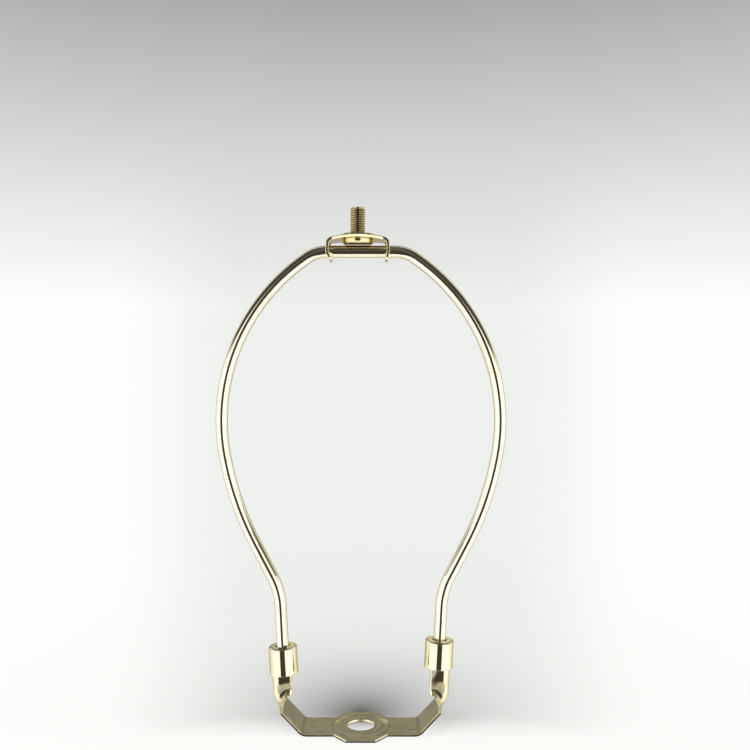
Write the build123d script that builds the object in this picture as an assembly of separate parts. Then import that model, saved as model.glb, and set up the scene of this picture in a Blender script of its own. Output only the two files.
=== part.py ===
from build123d import *
import os
from math import asin, cos, degrees, pi, radians, sin, tan

# Lamp harp. All sizes are in millimetres.
# +Z runs up the harp, X runs across the bow and Y runs through it.
# The origin is the centre of the saddle's hole, level with the saddle's underside.

# Bow: one length of round wire, bent to shape, given here from its top centre down one side
wire_dia = 5.0
top_half = 14.2
shoulder_radius = 14.0
shoulder_turn = 34.3
upper_radius = 81.5
upper_turn = 66.4
lower_radius = 130.0
lower_turn = 17.0
flank_length = 15.2
knee_radius = 29.0
leg_lean = 3.0
leg_length = 34.0

# Leg ends: the wire is swaged flat, so that the ferrules cannot drop off
hole_clearance = 0.5
swage_catch = 0.3
swage_thick = 3.05
swage_crown = 0.05
swage_length = 13.5
swage_taper = 3.5
toe_length = 3.0
toe_width = 1.9
toe_chamfer = 0.9

# Saddle: one stamped strip, whose ends are turned up and rolled into channels for the legs
saddle_gauge = 1.2
strip_width = 16.4
rise_angle = 46.5
elbow_height = 13.1
foot_bend = 4.0
elbow_bend = 5.0
curl_lead = 3.4
curl_tail = 2.0
curl_steps = 4
channel_clearance = 0.125
web_gap = 0.3
leg_seat = 3.7
arm_top_gap = 0.4

# Middle of the saddle: a bevelled plate with a shallow pressed boss around its hole
plate_length = 28.0
plate_tip_half = 6.1
plate_waist_half = 10.9
plate_overlap = 1.0
plate_corner_round = 1.0
saddle_hole = 11.5
saddle_boss_top = 9.0
saddle_boss_foot = 12.0
saddle_boss_rise = 0.3

# Ferrules: drawn cups that slide down over leg and channel
ferrule_wall = 0.5
ferrule_clearance = 0.55
ferrule_height = 11.1
ferrule_flare = 0.15
ferrule_flare_height = 1.6
ferrule_round = 0.8
ferrule_rest_gap = 0.1
right_ferrule_raised = 2.5

# Swivel bracket: a stamped strip that carries the shade and turns on the bow's top
bracket_gauge = 1.2
bracket_shift = -1.3
bracket_length = 26.3
bracket_depth = 16.0
ear_width = 10.6
arch_radius = 65.0
ear_bend = 2.4
ear_splay = 3.0
ear_drop = 2.6
crimp_bend = 3.0
left_crimp_angle = 32.0
right_crimp_angle = 16.0
ear_tip_drop = 3.8
swivel_clearance = 0.2
pinch_gap = 2.2
boss_wall = 0.4
boss_slope = 0.4
boss_rise = 0.7

# Finial screw: a stud for a 1/4-27 thread, with its head staked under the bracket's boss
stud_dia = 6.35
stud_length = 11.2
stud_chamfer = 0.7
stud_fit = 0.05
neck_dia = 5.5
neck_length = 0.9
head_dia = 12.8
head_flat_dia = 9.0
head_rim = 0.9
head_height = 3.0
head_gap = 0.3
head_clearance = 0.15

# Turned corners are drawn in short straight steps
corner_steps = 3

# Sizes that follow from the ones above
wire_radius = wire_dia / 2
ferrule_hole = wire_dia + 2 * hole_clearance
swage_width = ferrule_hole + 2 * swage_catch
knee_turn = shoulder_turn + upper_turn + lower_turn - 90 - leg_lean
leg_end_height = elbow_height + leg_seat
web_offset = swage_width / 2 + web_gap + saddle_gauge / 2
web_radius = swage_thick / 2 + channel_clearance + saddle_gauge / 2
web_arc = web_radius * pi / 2
arm_top = swage_length - arm_top_gap
ferrule_bore = 2 * (web_offset + saddle_gauge / 2 + ferrule_clearance)
ferrule_seat = swage_length + swage_taper + ferrule_rest_gap
screw_seat = wire_radius + head_gap + head_height
arch_height = screw_seat - boss_rise + bracket_gauge / 2


def run_on(line, length):
    """Straight line that carries on from the end of another, without a corner."""
    return Line(line @ 1, (line @ 1) + (line % 1) * length)


def bend_on(line, radius, turn):
    """Arc that carries on from the end of a line, turning left by an angle in degrees."""
    return JernArc(line @ 1, line % 1, radius, turn)


def bow_half():
    """Centre line of the wire from its top centre down to the end of one leg."""
    top = Line((0, 0), (top_half, 0))
    shoulder = bend_on(top, shoulder_radius, -shoulder_turn)
    upper = bend_on(shoulder, upper_radius, -upper_turn)
    lower = bend_on(upper, lower_radius, -lower_turn)
    flank = run_on(lower, flank_length)
    knee = bend_on(flank, knee_radius, knee_turn)
    leg = run_on(knee, leg_length)
    return [top, shoulder, upper, lower, flank, knee, leg]


# The leg's end says where the saddle's arms stand and how high the bow's top lies
leg_end = bow_half()[-1] @ 1
top_height = leg_end_height - leg_end.Y
leg_up = Vector(sin(radians(leg_lean)), 0, cos(radians(leg_lean)))
leg_out = Vector(cos(radians(leg_lean)), 0, -sin(radians(leg_lean)))


def leg_plane(distance):
    """Plane across the right leg, a distance up from its end, with x pointing outwards."""
    origin = Vector(leg_end.X, 0, leg_end_height) + leg_up * distance
    return Plane(origin=origin, x_dir=leg_out, z_dir=leg_up)


def other_side(solid):
    """Mirror image of a solid on the other side of the harp."""
    return mirror(solid, about=Plane.YZ)


def turned(profile):
    """Solid turned about the vertical axis from the outline of half its section."""
    return revolve(Plane.XZ * Polygon(*profile, align=None), axis=Axis.Z)


def rounded(side, end):
    """Points around a turned corner, from a point on its side to a point on its flat end."""
    turns = [radians(90 * step / corner_steps) for step in range(corner_steps + 1)]
    width = side[0] - end[0]
    height = end[1] - side[1]
    return [(end[0] + width * cos(turn), side[1] + height * sin(turn)) for turn in turns]


def upright(lines):
    """Path in the plane of the bow, from lines that were drawn flat."""
    return Plane.XZ * Wire([edge for line in lines for edge in line.edges()])


def across(point, direction):
    """Plane across a path in the plane of the bow, with x along Y and y towards the inside."""
    return Plane(origin=(point.X, 0, point.Z), x_dir=(0, 1, 0), z_dir=direction)


def leg_section(corner_x, corner_y, reach_x, reach_y):
    """Closed section in four arcs, through mirrored corners and out to the given reach."""
    right = ThreePointArc((corner_x, -corner_y), (reach_x, 0), (corner_x, corner_y))
    back = ThreePointArc((corner_x, corner_y), (0, reach_y), (-corner_x, corner_y))
    left = ThreePointArc((-corner_x, corner_y), (-reach_x, 0), (-corner_x, -corner_y))
    front = ThreePointArc((-corner_x, -corner_y), (0, -reach_y), (corner_x, -corner_y))
    return make_face([right, back, left, front])


def swaged_section():
    """Section of the flattened leg: round narrow sides and slightly crowned wide ones."""
    half_thick = swage_thick / 2
    corner_x = swage_width / 2 - half_thick
    return leg_section(corner_x, half_thick - swage_crown, swage_width / 2, half_thick)


def round_section():
    """Section of the round wire, in four arcs that pair with those of the swaged section."""
    corner = radians(45)
    return leg_section(wire_radius * cos(corner), wire_radius * sin(corner), wire_radius, wire_radius)


def toe_outline():
    """Side view of the toe, on the leg's inner side, with its inner corner cut off."""
    inner = -swage_width / 2
    outer = inner + toe_width
    return Polygon(
        (inner, 0),
        (outer, 0),
        (outer, -toe_length),
        (inner + toe_chamfer, -toe_length),
        (inner, 2 * toe_chamfer - toe_length),
        align=None,
    )


def swaged_end():
    """Flattened end of the right leg, from the round wire down to its narrow toe."""
    flat = extrude(leg_plane(-toe_length) * swaged_section(), toe_length + swage_length, dir=leg_up)
    flat_end = leg_plane(swage_length) * swaged_section()
    round_end = leg_plane(swage_length + swage_taper) * round_section()
    from_above = (Align.CENTER, Align.CENTER, Align.MAX)
    below = Box(3 * swage_width, wire_dia, 3 * toe_length, align=from_above)
    toe = extrude(Plane.XZ * toe_outline(), wire_dia, both=True)
    return flat - leg_plane(0) * (below - toe) + loft([flat_end, round_end])


def build_bow():
    """Bent wire with a swaged end on each leg."""
    *bends, leg = bow_half()
    round_leg = Line(leg @ 0, (leg @ 1) - (leg % 1) * (swage_length + swage_taper))
    path = Pos(0, 0, top_height) * upright(bends + [round_leg])
    wire = sweep(across(path @ 0, path % 0) * Circle(wire_radius), path=path)
    half = wire + swaged_end()
    return half + other_side(half)


def strip_point(fold, along, offset):
    """Point in the strip's section: out from the middle along the curl, and off the mid-surface."""
    reach = abs(along)
    curled = min(reach, web_arc)
    angle = radians(fold) * curled / web_arc
    if fold:
        curl_radius = web_arc / radians(fold)
        x = curl_radius * sin(angle)
        y = curl_radius * (1 - cos(angle))
    else:
        x = curled
        y = 0
    x += (reach - curled) * cos(angle) - offset * sin(angle)
    y += (reach - curled) * sin(angle) + offset * cos(angle)
    return (x if along > 0 else -x, y)


def strip_section(fold):
    """Section of the strip with both edges curled up by an angle in degrees."""
    edges = []
    tips = []
    for offset in (-saddle_gauge / 2, saddle_gauge / 2):
        left_tip, left_root, right_root, right_tip = [
            strip_point(fold, along, offset)
            for along in (-strip_width / 2, -web_arc, web_arc, strip_width / 2)
        ]
        web = Line(left_root, right_root)
        if fold:
            web = ThreePointArc(left_root, (0, offset), right_root)
        edges += [Line(left_tip, left_root), web, Line(right_root, right_tip)]
        tips.append((left_tip, right_tip))
    cut_edges = [Line(lower, upper) for lower, upper in zip(*tips)]
    return make_face(edges + cut_edges)


def saddle_path():
    """Right half of the strip's centre line: the flat part, the curling part and the arm."""
    elbow_x = leg_end.X + web_offset / cos(radians(leg_lean)) - leg_seat * tan(radians(leg_lean))
    rise_height = elbow_height - saddle_gauge / 2
    foot_x = elbow_x - rise_height / tan(radians(rise_angle))
    elbow_turn = 90 - leg_lean - rise_angle
    foot_cut = foot_bend * tan(radians(rise_angle / 2))
    elbow_cut = elbow_bend * tan(radians(elbow_turn / 2))
    rise_length = rise_height / sin(radians(rise_angle)) - foot_cut - elbow_cut
    arm_length = leg_seat / cos(radians(leg_lean)) + arm_top - elbow_cut
    flat = Line((0, saddle_gauge / 2), (foot_x - foot_cut, saddle_gauge / 2))
    foot = bend_on(flat, foot_bend, rise_angle)
    rise = run_on(foot, rise_length - curl_lead)
    lead = run_on(rise, curl_lead)
    elbow = bend_on(lead, elbow_bend, elbow_turn)
    tail = run_on(elbow, curl_tail)
    arm = run_on(tail, arm_length - curl_tail)
    return upright([flat, foot, rise]), upright([lead, elbow, tail]), upright([arm])


def saddle_arm():
    """Right half of the strip, which curls from flat to a channel as it turns upwards."""
    flat, curl, arm = saddle_path()
    strip = sweep(across(flat @ 0, flat % 0) * strip_section(0), path=flat)
    sections = []
    for step in range(curl_steps + 1):
        along = step / curl_steps
        fold = 90 * along**2 * (3 - 2 * along)
        tilt = radians(rise_angle + (90 - leg_lean - rise_angle) * along)
        sections.append(across(curl @ along, Vector(cos(tilt), 0, sin(tilt))) * strip_section(fold))
    channel = extrude(across(arm @ 0, arm % 0) * strip_section(90), arm.length, dir=arm % 0)
    return strip + loft(sections) + channel


def saddle_plate():
    """Bevelled middle of the saddle, before its boss is pressed."""
    half_length = plate_length / 2
    inner_y = strip_width / 2 - plate_overlap
    bevel = (plate_waist_half - plate_tip_half) / (half_length - strip_width / 2)
    inner_x = plate_waist_half + bevel * plate_overlap
    quarter = [(plate_tip_half, half_length), (inner_x, inner_y)]
    right = quarter + [(x, -y) for x, y in reversed(quarter)]
    outline = Polygon(*right, *[(-x, y) for x, y in reversed(right)], align=None)
    tips = outline.vertices().filter_by_position(Axis.Y, -inner_y, inner_y, inclusive=(True, True))
    corners = [corner for corner in outline.vertices() if corner not in tips]
    return extrude(fillet(corners, plate_corner_round), saddle_gauge, dir=(0, 0, 1))


def build_saddle():
    """Strip with its two channels, and the plate with its boss and hole."""
    from_below = (Align.CENTER, Align.CENTER, Align.MIN)
    boss = Cone(saddle_boss_foot, saddle_boss_top, saddle_boss_rise, align=from_below)
    hole = Cylinder(saddle_hole / 2, 4 * saddle_gauge)
    arm = saddle_arm()
    strip = arm + other_side(arm) + saddle_plate()
    return strip + Pos(0, 0, saddle_gauge) * boss - boss - hole


def build_ferrule(raised):
    """Drawn cup on the right leg, lifted above its lowest place by a distance."""
    inner = ferrule_bore / 2
    outer = inner + ferrule_wall
    hole = ferrule_hole / 2
    ceiling = ferrule_height - ferrule_wall
    cup = turned([
        (inner + ferrule_flare, 0),
        (outer + ferrule_flare, 0),
        (outer, ferrule_flare_height),
        *rounded((outer, ferrule_height - ferrule_round), (outer - ferrule_round, ferrule_height)),
        (hole, ferrule_height),
        (hole, ceiling),
        (inner, ceiling),
        (inner, ferrule_flare_height),
    ])
    return leg_plane(ferrule_seat + raised - ceiling) * cup


def bracket_half(crimp):
    """Right half of the bracket's strip, relative to the wire's centre under the boss."""
    ear_x = bracket_length / 2 - bracket_gauge / 2 - ear_drop * tan(radians(ear_splay))
    arch_turn = degrees(asin((ear_x - ear_bend) / (arch_radius - ear_bend)))
    arch = JernArc((0, arch_height), (1, 0), arch_radius, -arch_turn)
    bend = bend_on(arch, ear_bend, arch_turn + ear_splay - 90)
    ear = run_on(bend, ear_drop)
    pinch = bend_on(ear, crimp_bend, -crimp)
    prong = run_on(pinch, ((pinch @ 1).Y + ear_tip_drop) / cos(radians(crimp - ear_splay)))
    path = upright([arch, bend, ear, pinch, prong])
    strip = sweep(across(path @ 0, path % 0) * Rectangle(bracket_depth, bracket_gauge), path=path)
    return strip & bracket_outline((arch @ 1).X)


def bracket_outline(bend_start):
    """Prism of the bracket's outline from above: bowed long sides, then straight ears."""
    ear_half = ear_width / 2
    back = ThreePointArc((-bend_start, ear_half), (0, bracket_depth / 2), (bend_start, ear_half))
    front = ThreePointArc((-bend_start, -ear_half), (0, -bracket_depth / 2), (bend_start, -ear_half))
    middle = make_face([back, front, Line(back @ 0, front @ 0), Line(back @ 1, front @ 1)])
    outline = middle + Rectangle(bracket_length + bracket_gauge, ear_width)
    return extrude(outline, bracket_depth, both=True)


def build_bracket():
    """Arched strip with a pressed boss, and forked ears pinched around the wire."""
    from_below = (Align.CENTER, Align.CENTER, Align.MIN)
    from_above = (Align.CENTER, Align.CENTER, Align.MAX)
    recess_radius = head_dia / 2 + head_clearance
    boss_radius = recess_radius + boss_wall
    boss_foot = arch_height - bracket_gauge / 2
    boss_height = screw_seat + bracket_gauge - boss_foot
    strip = bracket_half(right_crimp_angle) + other_side(bracket_half(left_crimp_angle))
    boss = Cone(boss_radius + boss_slope, boss_radius, boss_height, align=from_below)
    recess = Cylinder(recess_radius, screw_seat, align=from_below)
    stud_hole = Cylinder(stud_dia / 2 + stud_fit, 2 * screw_seat, align=from_below)
    reach = 2 * bracket_length
    under_wire = Box(reach, bracket_depth, 2 * ear_width, align=from_above)
    ear_round = Rot(0, 90, 0) * Cylinder(ear_width / 2, reach)
    wire_hole = Rot(0, 90, 0) * Cylinder(wire_radius + swivel_clearance, reach)
    slot = Box(reach, pinch_gap, ear_width, align=from_above)
    bracket = strip + Pos(0, 0, boss_foot) * boss - recess - stud_hole
    bracket -= under_wire - ear_round
    bracket -= wire_hole + slot
    return Pos(bracket_shift, 0, top_height) * bracket


def build_screw():
    """Stud with a rounded head below the boss and a narrow neck above it."""
    head = head_dia / 2
    head_bottom = screw_seat - head_height
    boss_top = screw_seat + bracket_gauge
    tip = boss_top + stud_length
    stud = stud_dia / 2
    neck = neck_dia / 2
    neck_top = boss_top + neck_length
    screw = turned([
        (0, tip),
        (0, head_bottom),
        *reversed(rounded((head, screw_seat - head_rim), (head_flat_dia / 2, head_bottom))),
        (head, screw_seat),
        (stud, screw_seat),
        (stud, boss_top),
        (neck, boss_top),
        (neck, neck_top),
        (stud, neck_top + stud - neck),
        (stud, tip - stud_chamfer),
        (stud - stud_chamfer, tip),
    ])
    return Pos(bracket_shift, 0, top_height) * screw


def write(node, shape):
    """Writes one sub-part to its own file."""
    solids = shape.solids()
    export_step(solids[0] if len(solids) == 1 else shape, f"parts/{node}.step")


os.makedirs("parts", exist_ok=True)
write("saddle", build_saddle())
write("harp_bow", build_bow())
write("ferrule_left", other_side(build_ferrule(0)))
write("ferrule_right", build_ferrule(right_ferrule_raised))
write("swivel_bracket", build_bracket())
write("finial_screw", build_screw())
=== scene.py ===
from math import atan, cos, pi, radians, sin
import bmesh
import bpy
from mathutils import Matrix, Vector


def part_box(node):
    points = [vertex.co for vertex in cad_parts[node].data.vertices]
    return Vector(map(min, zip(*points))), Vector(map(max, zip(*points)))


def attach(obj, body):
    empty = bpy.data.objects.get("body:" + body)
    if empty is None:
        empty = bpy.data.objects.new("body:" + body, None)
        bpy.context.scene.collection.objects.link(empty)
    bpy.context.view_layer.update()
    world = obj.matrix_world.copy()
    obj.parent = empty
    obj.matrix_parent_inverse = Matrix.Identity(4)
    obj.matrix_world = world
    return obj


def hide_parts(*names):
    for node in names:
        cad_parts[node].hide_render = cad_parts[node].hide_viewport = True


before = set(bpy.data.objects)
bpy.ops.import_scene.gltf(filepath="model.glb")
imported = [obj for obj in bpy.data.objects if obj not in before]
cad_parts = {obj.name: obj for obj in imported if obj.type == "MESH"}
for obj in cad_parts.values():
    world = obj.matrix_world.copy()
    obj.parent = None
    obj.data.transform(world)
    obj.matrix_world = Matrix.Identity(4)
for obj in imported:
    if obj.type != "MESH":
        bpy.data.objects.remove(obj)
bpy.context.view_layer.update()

# Camera: level, straight in front, at the height that gives the photograph's perspective
image_size = 750
focal_pixels = 850
camera_place = (0.0058, -0.352, 0.1463)
camera_clip_start = 0.01

# Finial thread: 1/4-27, cut into the stud between its neck and its chamfered tip
stud_radius = 0.003175
thread_pitch = 0.0254 / 27
thread_depth = 0.52 * thread_pitch
thread_steps = 12
thread_crest = 0.14
thread_root = 0.12
turned_segments = 72

# Screw, below its thread
screw_neck_radius = 0.00275
screw_neck_length = 0.0009
screw_chamfer = 0.0007
screw_head_flat_radius = 0.0049
screw_head_widest = 0.00665
screw_head_belly = 0.0014
screw_head_rim = 0.0008
screw_head_height = 0.003
screw_collar_height = 0.0012
screw_corner_steps = 8
screw_corner_break = 0.00018

# Screw's mesh: lengths below which vertices merge and edges go, and the angle of a sharp edge
merge_distance = 1e-7
degenerate_length = 1e-8
crease_angle = radians(35)

# Metals: base colours of the plating, as linear values, and how they vary where it is thinner
wire_colour = (0.96, 0.925, 0.76)
sheet_colour = (0.93, 0.865, 0.61)
ferrule_colour = (0.95, 0.895, 0.66)
bracket_colour = (0.93, 0.835, 0.55)
screw_colour = (0.92, 0.8, 0.51)
thin_plating = (0.94, 0.91, 0.84)

# Metals: least and most roughness, radius of the worn edges, and height of the broad waves
wire_gloss = (0.04, 0.1)
sheet_gloss = (0.12, 0.22)
ferrule_gloss = (0.06, 0.14)
bracket_gloss = (0.1, 0.2)
screw_gloss = (0.1, 0.2)
wire_edge = 0.0003
sheet_edge = 0.00045
ferrule_edge = 0.0002
bracket_edge = 0.0005
screw_edge = 0.00008
plating_waves = 0.00002
sheet_waves = 0.00004

# Plating: scales of its noise in cells per metre, and the range of the noise that shows
broad_scale = 90
tint_range = (0.4, 0.72)
gloss_scale = 420
gloss_range = (0.35, 0.75)
grain_scale = 2600
grain_height = 0.000002
edge_samples = 8

# Legs: below this height the wire is pressed flat and shows the press's marks
swage_top = 0.0335
swage_fade = 0.002
swage_scale = 220
swage_mark_height = 0.0008

# Top of the wire: painted shade under the bracket, between its ears and down to these depths below its top
under_bracket_shade_colour = (0.26, 0.22, 0.145)
under_bracket_shade_fade = 0.002
under_bracket_shade_depth = (0.0025, 0.0012)

# Bracket: slight bulge in the middle of its cut edges, which face along Y
bulge_facing = (0.8, 0.9)
bulge_half = 0.0075
bulge_height = 0.0018

# Thread: painted shade in its grooves, between shares of its depth, and clear of the neck and the tip
groove_shade_colour = (0.3, 0.245, 0.145)
groove_shade_depth = (0.1, 0.8)
groove_shade_neck = 0.0003
groove_shade_tip = (0.0003, 0.0008)

# Saddle: outer face of its arms, and the heights where their edges curl and the channels start
arm_foot = 0.02389
arm_rise = radians(46.5)
arm_foot_round = 0.0022
arm_curl = (0.0100, 0.0090)
channel_foot = (0.0110, 0.0125)

# Saddle's cut edges: their lower part, which tears in stamping, darkened with painted shade; burnished
# above, and duller where they leave the plate
torn_edge_shade_colour = (0.075, 0.06, 0.037)
torn_edge_shade_facing = (0.5, 0.6)
torn_edge_shade_depth = (0.0008, 0.0006)
torn_edge_shade_scale = 900
torn_edge_shade_raggedness = 0.0003
front_facing = (0.85, 0.95)
plate_edge = (0.0013, 0.0022)
level_roughness = 0.42
raised_roughness = 0.66

# Saddle's channels: walls that the press leaves glossy in some places and dull in others
channel_scale = 130
channel_range = (0.42, 0.58)
channel_gloss = 0.1

# Saddle's plate: broken rings of painted shade around the hole and the boss, and patches of scratches along
# X
plate_top = (0.003, 0.0015)
ring_radii = (0.0062, 0.0091, 0.0119)
ring_width = 0.0006
ring_scale = 160
ring_range = (0.35, 0.6)
ring_darkness = 0.45
scratch_stretch = (0.06, 1, 1)
scratch_scale = 1300
scratch_range = (0.6, 0.8)
scratch_patch_scale = 130
scratch_patch_range = (0.52, 0.62)
scratch_darkness = 0.5
scratch_height = 0.00006

# Backdrop as the camera sees it: tones at directions' heights and at tangents to the side, with painted
# shade towards its top and in its middle
backdrop_white = 1.0
backdrop_high = 0.41
backdrop_fade = (0.08, 0.40)
backdrop_tint = (0.985, 1.0, 0.975)
middle_dip = 0.13
middle_dip_fade = (0.05, 0.3)
middle_half = (0.14, 0.32)
least_reach = 0.001

# Floor: white in front, with a soft shade behind the plate, and lit only near the object
floor_radius = 30.0
floor_segments = 96
floor_drop = 0.00002
floor_colour = (0.97, 0.97, 0.96, 1)
floor_front = (0.12, -0.02)
shade_squeeze = (1, 0.75, 1)
shade_centre = (0, 0.0105, 0)
shade_start = (-0.012, 0.016)
shade_depth = 0.9
shade_reach = 0.03
glow_fade = (0.05, 0.3)
glow_share = (0.88, 1.0)

# Room that the metal reflects, near side; facing is 1 towards the front and -1 towards the back
box_bright = 1.3
room_bright = 0.98
box_facing = (-0.2, 0.4)
room_side = (0.56, 0.53, 0.28)
side_facing = (-0.3, -0.8)
room_dark = (0.058, 0.0585, 0.055)
room_rim = (0.72, 0.69, 0.5)
rim_facing = (-0.1, -0.5)
top_heights = (0.22, 0.38)
top_lean = 0.03
top_lean_sides = (-0.2, 0.2)
strip_dark = (0.055, 0.045, 0.03)
strip_high = (0.10, 0.105, 0.082)
strip_heights = (0.05, 0.3)
strip_facing = (0.915, 0.955)
strip_foot = (-0.9, -0.8)

# Room that the metal reflects, far side: dim, with a pale floor and a pale ledge in its middle
far_facing = (-0.8, -0.93)
far_floor = (0.95, 0.93, 0.78)
far_floor_heights = (-0.55, -0.8)
far_low = (0.42, 0.40, 0.36)
far_heights = (-0.15, 0.15)
far_high = (0.19, 0.191, 0.171)
far_top = (0.28, 0.275, 0.24)
far_top_heights = (0.2, 0.6)
far_ledge = (0.66, 0.61, 0.41)
ledge_foot = (0.24, 0.26)
ledge_top = (0.33, 0.31)
ledge_half = (0.17, 0.125)

# Lamp
lamp_place = (-0.25, -0.35, 1.1)
lamp_target = (0, 0, 0.1)
lamp_size = 0.5
lamp_power = 9.0


def add_node(tree, kind, inputs=(), **settings):
    """New shader node with its settings, and with sockets set from values or linked."""
    node = tree.nodes.new(kind)
    for name, value in settings.items():
        setattr(node, name, value)
    for key, value in dict(inputs).items():
        if isinstance(value, bpy.types.NodeSocket):
            tree.links.new(value, node.inputs[key])
        else:
            node.inputs[key].default_value = value
    return node


def calculate(tree, operation, first, second=0.0):
    """Output of a Math node."""
    return add_node(tree, "ShaderNodeMath", {0: first, 1: second}, operation=operation).outputs[0]


def product(tree, first, *others):
    """Product of two or more values."""
    for other in others:
        first = calculate(tree, "MULTIPLY", first, other)
    return first


def separate(tree, vector):
    """X, Y and Z of a vector."""
    return list(add_node(tree, "ShaderNodeSeparateXYZ", {0: vector}).outputs)


def stretch(tree, vector, factors):
    """Vector times a factor for each of its parts."""
    inputs = {0: vector, 1: factors}
    return add_node(tree, "ShaderNodeVectorMath", inputs, operation="MULTIPLY").outputs["Vector"]


def away(tree, value, middle):
    """Distance between a value and a middle one."""
    return calculate(tree, "ABSOLUTE", calculate(tree, "SUBTRACT", value, middle))


def off_axis(tree, place, x=0.0, y=0.0):
    """Distance from a vertical axis."""
    inputs = {0: place, 1: (x, y, 0)}
    offset = add_node(tree, "ShaderNodeVectorMath", inputs, operation="SUBTRACT").outputs["Vector"]
    level = stretch(tree, offset, (1, 1, 0))
    return add_node(tree, "ShaderNodeVectorMath", {0: level}, operation="LENGTH").outputs["Value"]


def ease(tree, value, start, end, low=0.0, high=1.0, kind="SMOOTHSTEP"):
    """Value that eases from low to high while the input goes from start to end."""
    inputs = {"Value": value, "From Min": start, "From Max": end, "To Min": low, "To Max": high}
    node = add_node(tree, "ShaderNodeMapRange", inputs, interpolation_type=kind)
    return node.outputs["Result"]


def blend(tree, amount, first, second):
    """Colour between two others, by an amount from 0 to 1."""
    inputs = {"Factor": amount, "A": first, "B": second}
    return add_node(tree, "ShaderNodeMix", inputs, data_type="VECTOR").outputs["Result"]


def noise(tree, place, scale, detail=2.0, roughness=0.5):
    """Grey noise, from 0 to 1, of a scale in cells per metre."""
    inputs = {"Vector": place, "Scale": scale, "Detail": detail, "Roughness": roughness}
    return add_node(tree, "ShaderNodeTexNoise", inputs).outputs["Fac"]


def raised(tree, height, distance, normal):
    """Normal of a surface that is raised by a height from 0 to 1, times a distance."""
    inputs = {"Height": height, "Distance": distance, "Strength": 1.0, "Normal": normal}
    return add_node(tree, "ShaderNodeBump", inputs).outputs[0]


def facing_y(tree, start, end):
    """How much a face looks along Y, to the front or the back, from 0 to 1."""
    normal = add_node(tree, "ShaderNodeTexCoord").outputs["Normal"]
    along_y = separate(tree, normal)[1]
    return ease(tree, calculate(tree, "ABSOLUTE", along_y), start, end)


def scratch_marks(tree, place):
    """Patches of faint scratches along X, on the saddle's plate."""
    stretched = stretch(tree, place, scratch_stretch)
    lines = ease(tree, noise(tree, stretched, scratch_scale, detail=0.0), *scratch_range)
    patches = ease(tree, noise(tree, place, scratch_patch_scale, detail=1.0), *scratch_patch_range)
    z = separate(tree, place)[2]
    return product(tree, lines, patches, ease(tree, z, *plate_top))


def press_marks(tree, place):
    """Uneven marks on the wire's flattened ends."""
    z = separate(tree, place)[2]
    flat = ease(tree, z, swage_top + swage_fade, swage_top)
    return product(tree, noise(tree, place, swage_scale, detail=1.0), flat)


def front_roughness(tree, place):
    """Roughness of the saddle's front faces: its cut edges, and the channels' pressed walls."""
    z = separate(tree, place)[2]
    cut = ease(tree, z, *plate_edge, level_roughness, raised_roughness)
    cut = product(tree, cut, ease(tree, z, *reversed(channel_foot)))
    patches = noise(tree, place, channel_scale, detail=1.0)
    pressed = ease(tree, patches, *channel_range, channel_gloss, raised_roughness)
    pressed = product(tree, pressed, ease(tree, z, *channel_foot))
    rough = calculate(tree, "ADD", cut, pressed)
    return product(tree, facing_y(tree, *front_facing), rough)


def boss_bulge(tree, place):
    """Slight bulge in the middle of the bracket's cut edges, beside its boss."""
    low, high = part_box("swivel_bracket")
    x = separate(tree, place)[0]
    off = away(tree, x, (low.x + high.x) / 2)
    bulge = ease(tree, off, bulge_half, 0.0, kind="LINEAR")
    return product(tree, facing_y(tree, *bulge_facing), bulge)


def painted_groove_shade(tree, place):
    """Painted shade in the grooves of the thread, from 0 to 1."""
    low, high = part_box("finial_screw")
    centre = (low + high) / 2
    shallow, deep = (stud_radius - share * thread_depth for share in groove_shade_depth)
    groove = ease(tree, off_axis(tree, place, centre.x, centre.y), shallow, deep)
    z = separate(tree, place)[2]
    start = low.z + screw_head_height + screw_collar_height
    above_collar = ease(tree, z, start, start + groove_shade_neck)
    below_tip = ease(tree, z, high.z - groove_shade_tip[0], high.z - groove_shade_tip[1])
    return product(tree, groove, above_collar, below_tip)


def torn_and_shaded_edges(tree, place):
    """Lower part of the saddle's cut edges, which tears as the strip is stamped out, and where painted shade
    darkens them.
    """
    x, _, z = separate(tree, place)
    out = calculate(tree, "SUBTRACT", calculate(tree, "ABSOLUTE", x), arm_foot)
    up_arm = product(tree, z, cos(arm_rise))
    off_arm = calculate(tree, "SUBTRACT", up_arm, product(tree, out, sin(arm_rise)))
    inputs = {0: z, 1: off_arm, 2: arm_foot_round}
    depth = add_node(tree, "ShaderNodeMath", inputs, operation="SMOOTH_MIN").outputs[0]
    ragged = product(tree, noise(tree, place, torn_edge_shade_scale), torn_edge_shade_raggedness)
    torn_shade = ease(tree, calculate(tree, "ADD", depth, ragged), *torn_edge_shade_depth)
    return product(tree, torn_shade, facing_y(tree, *torn_edge_shade_facing), ease(tree, z, *arm_curl))


def ring_shade(tree, place):
    """Faint broken rings of painted shade around the hole and the boss."""
    radius = off_axis(tree, place)
    marks = 0.0
    for ring_radius in ring_radii:
        line = ease(tree, away(tree, radius, ring_radius), ring_width, 0.0)
        marks = calculate(tree, "MAXIMUM", marks, line)
    return product(tree, marks, ease(tree, noise(tree, place, ring_scale), *ring_range))


def saddle_scratches_and_shade(tree, place):
    """Darker places on the saddle, from 0 to 1: scratches, and painted shade at the rings and low on the cut
    edges.
    """
    rings = product(tree, ring_shade(tree, place), ring_darkness)
    scratches = product(tree, scratch_marks(tree, place), scratch_darkness)
    plate = calculate(tree, "MAXIMUM", rings, scratches)
    return calculate(tree, "MAXIMUM", torn_and_shaded_edges(tree, place), plate)


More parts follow.
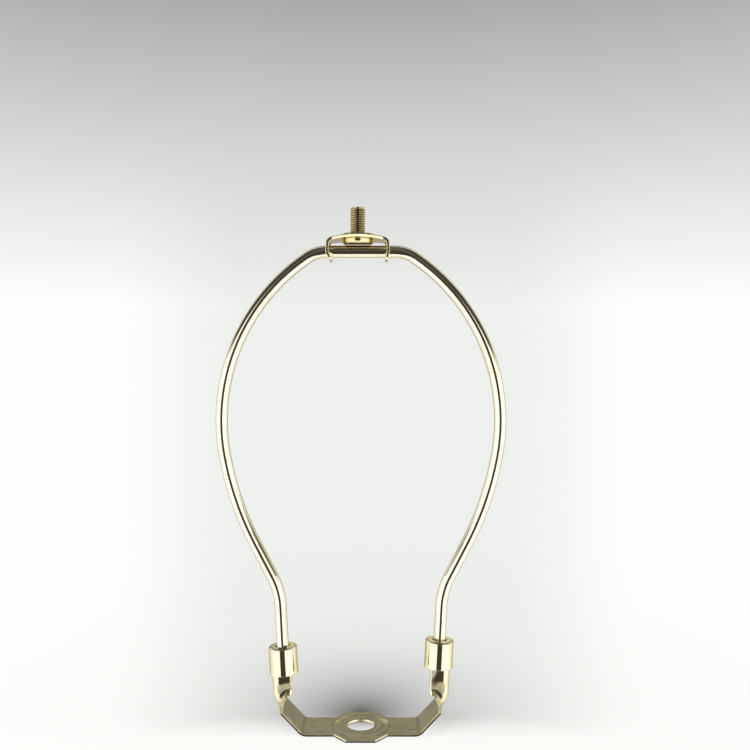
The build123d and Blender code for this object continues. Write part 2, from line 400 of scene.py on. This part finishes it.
def painted_shade_under_bracket(tree, place):
    """Painted shade on the top of the wire between the bracket's ears, from 0 to 1."""
    low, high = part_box("swivel_bracket")
    wire_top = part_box("harp_bow")[1].z
    x, _, z = separate(tree, place)
    half = (high.x - low.x) / 2
    along = ease(tree, away(tree, x, (low.x + high.x) / 2), half, half - under_bracket_shade_fade)
    deep, shallow = (wire_top - depth for depth in under_bracket_shade_depth)
    return product(tree, along, ease(tree, z, deep, shallow))


def plating_normal(tree, place, broad, edge, waves, bumps):
    """Normal of the plating: rounded edges, broad waves, the piece's own bumps and a fine grain."""
    surface = add_node(tree, "ShaderNodeBevel", {"Radius": edge}, samples=edge_samples).outputs[0]
    surface = raised(tree, broad, waves, surface)
    for marks, height in bumps:
        surface = raised(tree, marks(tree, place), height, surface)
    grain = noise(tree, place, grain_scale, detail=4, roughness=0.65)
    return raised(tree, grain, grain_height, surface)


def plating_colour(tree, place, broad, colour, stains_and_shade):
    """Colour of the plating: its tint where it is thinner, and its darker marks and painted shade."""
    thin = tuple(part * tint for part, tint in zip(colour, thin_plating))
    plating = blend(tree, ease(tree, broad, *tint_range), colour, thin)
    for darkened, darkening_colour in stains_and_shade:
        plating = blend(tree, darkened(tree, place), plating, darkening_colour)
    return plating


def plated_metal(name, colour, gloss, edge, waves=plating_waves, bumps=(), stains_and_shade=(), dulled=None):
    """Bright plating: its tint, its roughness and its slightly uneven surface all vary."""
    material = bpy.data.materials.new(name)
    material.use_nodes = True
    tree = material.node_tree
    tree.nodes.clear()
    place = add_node(tree, "ShaderNodeTexCoord").outputs["Object"]
    broad = noise(tree, place, broad_scale, detail=3)
    patches = noise(tree, place, gloss_scale, detail=5, roughness=0.7)
    rough = ease(tree, patches, *gloss_range, *gloss)
    if dulled:
        rough = calculate(tree, "MAXIMUM", rough, dulled(tree, place))
    shader = add_node(tree, "ShaderNodeBsdfPrincipled", {
        "Base Color": plating_colour(tree, place, broad, colour, stains_and_shade),
        "Metallic": 1.0,
        "Roughness": rough,
        "Normal": plating_normal(tree, place, broad, edge, waves, bumps),
    })
    output = add_node(tree, "ShaderNodeOutputMaterial")
    tree.links.new(shader.outputs[0], output.inputs["Surface"])
    return material


def dress(node, material):
    """Gives a CAD node its finished material."""
    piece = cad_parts[node]
    piece.data.materials.clear()
    piece.data.materials.append(material)


def new_piece(name, make, material):
    """Object from a bmesh that a function fills, shaded smooth apart from its sharp edges."""
    mesh = bpy.data.meshes.new(name)
    form = bmesh.new()
    make(form)
    bmesh.ops.remove_doubles(form, verts=form.verts, dist=merge_distance)
    bmesh.ops.dissolve_degenerate(form, edges=form.edges, dist=degenerate_length)
    bmesh.ops.recalc_face_normals(form, faces=form.faces)
    form.to_mesh(mesh)
    form.free()
    mesh.shade_smooth()
    mesh.set_sharp_from_angle(angle=crease_angle)
    mesh.materials.append(material)
    piece = bpy.data.objects.new(name, mesh)
    bpy.context.scene.collection.objects.link(piece)
    return piece


def ring(form, centre, radius, height):
    """Vertices around a vertical axis."""
    turns = [2 * pi * i / turned_segments for i in range(turned_segments)]
    return [form.verts.new((centre.x + radius * cos(a), centre.y + radius * sin(a), height)) for a in turns]


def turned_skin(form, centre, profile):
    """Skin of a turned shape, from (radius, height) points in order."""
    rings = [ring(form, centre, radius, height) for radius, height in profile]
    for low, high in zip(rings, rings[1:]):
        for i in range(turned_segments):
            j = (i + 1) % turned_segments
            form.faces.new((low[i], low[j], high[j], high[i]))
    return rings


def thread_radius(share):
    """Radius of the thread at a share of its pitch: crest, flank, root and flank."""
    flank = (1 - thread_crest - thread_root) / 2
    if share < thread_crest:
        return stud_radius
    if share < thread_crest + flank:
        return stud_radius - thread_depth * (share - thread_crest) / flank
    if share < thread_crest + flank + thread_root:
        return stud_radius - thread_depth
    return stud_radius - thread_depth * (1 - share) / flank


def thread_column(form, centre, i, low, high, rows):
    """Vertices up one side of the thread, narrowed to the neck below and to the chamfer above."""
    angle = 2 * pi * i / turned_segments
    step = thread_pitch / thread_steps
    column = []
    for row in range(rows + 1):
        height = low - thread_pitch + (row + thread_steps * i / turned_segments) * step
        height = min(max(height, low), high)
        limit = min(screw_neck_radius + height - low, stud_radius - screw_chamfer + high - height)
        reach = min(thread_radius(row % thread_steps / thread_steps), limit)
        column.append(form.verts.new((centre.x + reach * cos(angle), centre.y + reach * sin(angle), height)))
    return column


def thread_skin(form, centre, low, high):
    """Helical skin of the thread between two heights."""
    rows = int((high - low) / (thread_pitch / thread_steps)) + 2 * thread_steps
    columns = [thread_column(form, centre, i, low, high, rows) for i in range(turned_segments)]
    for i in range(turned_segments):
        across = columns[(i + 1) % turned_segments]
        shift = thread_steps if i + 1 == turned_segments else 0
        for row in range(rows - shift):
            corners = (columns[i][row], across[row + shift], across[row + shift + 1], columns[i][row + 1])
            form.faces.new(corners)


def head_profile(low, seat, rim_radius):
    """Points (radius, height) up the rounded head, from its flat underside to its seat."""
    belly = low + screw_head_belly
    shoulder = seat - screw_head_rim - belly
    below = screw_head_widest - screw_head_flat_radius
    above = screw_head_widest - rim_radius
    turns = [radians(90 * i / screw_corner_steps) for i in range(screw_corner_steps + 1)]
    points = [(screw_head_flat_radius / 2, low)]
    points += [(screw_head_flat_radius + below * sin(a), belly - screw_head_belly * cos(a)) for a in turns]
    points += [(rim_radius + above * cos(a), belly + shoulder * sin(a)) for a in turns[1:]]
    points += [(rim_radius, seat - screw_corner_break), (rim_radius - screw_corner_break, seat)]
    return points


def screw_form(form):
    """Finial screw: rounded head, collar through the boss, neck and threaded stud."""
    low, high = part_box("finial_screw")
    centre = (low + high) / 2
    seat = low.z + screw_head_height
    top = seat + screw_collar_height
    neck_top = top + screw_neck_length
    profile = head_profile(low.z, seat, (high.x - low.x) / 2)
    profile += [(stud_radius, seat), (stud_radius, top)]
    profile += [(screw_neck_radius, top), (screw_neck_radius, neck_top)]
    rings = turned_skin(form, centre, profile)
    form.faces.new(list(reversed(rings[0])))
    thread_skin(form, centre, neck_top, high.z)
    form.faces.new(ring(form, centre, stud_radius - screw_chamfer, high.z))


def make_screw(material):
    """Screw with a real helical thread, which stands for the plain CAD screw."""
    piece = new_piece("threaded_finial_screw", screw_form, material)
    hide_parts("finial_screw")
    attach(piece, "swivel")


def make_camera():
    """Camera in front of the harp, with the photograph's angle of view."""
    data = bpy.data.cameras.new("camera")
    data.lens_unit = "FOV"
    data.angle = 2 * atan(image_size / 2 / focal_pixels)
    data.clip_start = camera_clip_start
    camera = bpy.data.objects.new("camera", data)
    camera.location = camera_place
    camera.rotation_euler = (radians(90), 0, 0)
    bpy.context.scene.collection.objects.link(camera)
    bpy.context.scene.camera = camera


def coloured(tree, tone):
    """Backdrop's tint at a tone."""
    inputs = {0: backdrop_tint, "Scale": tone}
    return add_node(tree, "ShaderNodeVectorMath", inputs, operation="SCALE").outputs["Vector"]


def backdrop_tone(tree, aside, height):
    """Paleness of the backdrop, with painted shade: white at the sides, dimmer in the middle and towards its
    top.
    """
    white = ease(tree, height, *backdrop_fade, backdrop_white, backdrop_high, kind="LINEAR")
    dip = ease(tree, height, *middle_dip_fade, middle_dip, 0.0)
    middle = ease(tree, calculate(tree, "ABSOLUTE", aside), *middle_half, 1.0, 0.0)
    return calculate(tree, "SUBTRACT", white, product(tree, dip, middle))


def near_room(tree, x, z, facing):
    """Colour of the room around the front: pale boxes, a dark top and a dark strip."""
    boxes = ease(tree, facing, *box_facing, room_bright, box_bright)
    sides = blend(tree, ease(tree, facing, *side_facing), boxes, room_side)
    top = blend(tree, ease(tree, facing, *rim_facing), room_dark, room_rim)
    leaning_z = calculate(tree, "ADD", z, ease(tree, x, *top_lean_sides, 0.0, top_lean))
    around = blend(tree, ease(tree, leaning_z, *top_heights), sides, top)
    strip = product(tree, ease(tree, facing, *strip_facing), ease(tree, z, *strip_foot))
    dark = blend(tree, ease(tree, z, *strip_heights), strip_dark, strip_high)
    return blend(tree, strip, around, dark)


def far_room(tree, x, z):
    """Colour of the room's dim far side, with its pale floor and ledge."""
    high = blend(tree, ease(tree, z, *far_top_heights), far_high, far_top)
    across = ease(tree, calculate(tree, "ABSOLUTE", x), *ledge_half)
    ledge = product(tree, ease(tree, z, *ledge_foot), ease(tree, z, *ledge_top), across)
    high = blend(tree, ledge, high, far_ledge)
    low = blend(tree, ease(tree, z, *far_floor_heights), far_low, far_floor)
    return blend(tree, ease(tree, z, *far_heights), low, high)


def make_room():
    """World: a pale backdrop for the camera, and a soft studio for everything that is lit by it."""
    world = bpy.data.worlds.new("studio")
    bpy.context.scene.world = world
    world.use_nodes = True
    tree = world.node_tree
    tree.nodes.clear()
    direction = add_node(tree, "ShaderNodeTexCoord").outputs["Generated"]
    x, y, z = separate(tree, direction)
    sideways = calculate(tree, "DIVIDE", x, calculate(tree, "MAXIMUM", y, least_reach))
    sky = coloured(tree, backdrop_tone(tree, sideways, z))

    level = calculate(tree, "SQRT", calculate(tree, "SUBTRACT", 1.0, calculate(tree, "POWER", z, 2.0)))
    facing = calculate(tree, "DIVIDE", product(tree, y, -1.0), level)
    near = near_room(tree, x, z, facing)
    room = blend(tree, ease(tree, facing, *far_facing), near, far_room(tree, x, z))

    rays = add_node(tree, "ShaderNodeLightPath").outputs["Is Camera Ray"]
    seen = add_node(tree, "ShaderNodeBackground", {"Color": sky})
    lit = add_node(tree, "ShaderNodeBackground", {"Color": room})
    mixed = add_node(tree, "ShaderNodeMixShader", {0: rays, 1: lit.outputs[0], 2: seen.outputs[0]})
    output = add_node(tree, "ShaderNodeOutputWorld")
    tree.links.new(mixed.outputs[0], output.inputs["Surface"])


def floor_white(tree, x, y):
    """Tone of the floor: white in front, and the backdrop's tone where the two meet."""
    reach = calculate(tree, "MAXIMUM", calculate(tree, "SUBTRACT", y, camera_place[1]), least_reach)
    aside = calculate(tree, "DIVIDE", calculate(tree, "SUBTRACT", x, camera_place[0]), reach)
    front = ease(tree, y, *floor_front, 0.0, backdrop_white)
    return calculate(tree, "MAXIMUM", backdrop_tone(tree, aside, 0.0), front)


def floor_shade(tree, y, off_plate):
    """Soft shade on the floor behind the plate."""
    fading = calculate(tree, "EXPONENT", calculate(tree, "DIVIDE", off_plate, -shade_reach))
    return product(tree, fading, ease(tree, y, *shade_start, 0.0, shade_depth))


def floor_material():
    """Pale matt floor that keeps the object's shadow and meets the backdrop at the horizon."""
    material = bpy.data.materials.new("pale_floor")
    material.use_nodes = True
    tree = material.node_tree
    tree.nodes.clear()
    place = add_node(tree, "ShaderNodeTexCoord").outputs["Object"]
    x, y, _ = separate(tree, place)
    inputs = {0: stretch(tree, place, shade_squeeze), 1: shade_centre}
    off_plate = add_node(tree, "ShaderNodeVectorMath", inputs, operation="DISTANCE").outputs["Value"]
    tone = calculate(tree, "SUBTRACT", floor_white(tree, x, y), floor_shade(tree, y, off_plate))
    glow = add_node(tree, "ShaderNodeEmission", {"Color": coloured(tree, tone)})
    matt = add_node(tree, "ShaderNodeBsdfDiffuse", {"Color": floor_colour})
    share = ease(tree, off_plate, *glow_fade, *glow_share)
    mixed = add_node(tree, "ShaderNodeMixShader", {0: share, 1: matt.outputs[0], 2: glow.outputs[0]})
    output = add_node(tree, "ShaderNodeOutputMaterial")
    tree.links.new(mixed.outputs[0], output.inputs["Surface"])
    return material


def make_floor():
    """Round floor under the harp."""
    mesh = bpy.data.meshes.new("floor")
    form = bmesh.new()
    bmesh.ops.create_circle(form, cap_ends=True, segments=floor_segments, radius=floor_radius)
    form.to_mesh(mesh)
    form.free()
    mesh.materials.append(floor_material())
    floor = bpy.data.objects.new("floor", mesh)
    floor.location.z = -floor_drop
    floor.visible_glossy = False
    bpy.context.scene.collection.objects.link(floor)


def make_lamp():
    """Soft square lamp above, which points at the harp."""
    data = bpy.data.lights.new("overhead_lamp", "AREA")
    data.size = lamp_size
    data.energy = lamp_power
    lamp = bpy.data.objects.new("overhead_lamp", data)
    lamp.location = lamp_place
    aim = Vector(lamp_target) - Vector(lamp_place)
    lamp.rotation_euler = aim.to_track_quat("-Z", "Y").to_euler()
    lamp.visible_glossy = False
    bpy.context.scene.collection.objects.link(lamp)


bpy.context.scene.view_settings.view_transform = "Standard"
make_camera()
make_room()
make_floor()
make_lamp()

# Saddle: scratches, and painted shade at the rings and low on its cut edges
dress("saddle", plated_metal(
    "saddle_plating", sheet_colour, sheet_gloss, sheet_edge, sheet_waves,
    bumps=[(scratch_marks, scratch_height)], stains_and_shade=[(saddle_scratches_and_shade, torn_edge_shade_colour)], dulled=front_roughness
))
# Wire: press marks on its flattened ends, and painted shade on its top under the bracket
dress("harp_bow", plated_metal(
    "wire_plating", wire_colour, wire_gloss, wire_edge,
    bumps=[(press_marks, swage_mark_height)], stains_and_shade=[(painted_shade_under_bracket, under_bracket_shade_colour)]
))
dress("ferrule_left", plated_metal("left_ferrule_plating", ferrule_colour, ferrule_gloss, ferrule_edge))
dress("ferrule_right", plated_metal("right_ferrule_plating", ferrule_colour, ferrule_gloss, ferrule_edge))
dress("swivel_bracket", plated_metal(
    "bracket_plating", bracket_colour, bracket_gloss, bracket_edge, bumps=[(boss_bulge, bulge_height)]
))
# Screw: painted shade in the grooves of its thread
make_screw(plated_metal(
    "screw_plating", screw_colour, screw_gloss, screw_edge, stains_and_shade=[(painted_groove_shade, groove_shade_colour)]
))
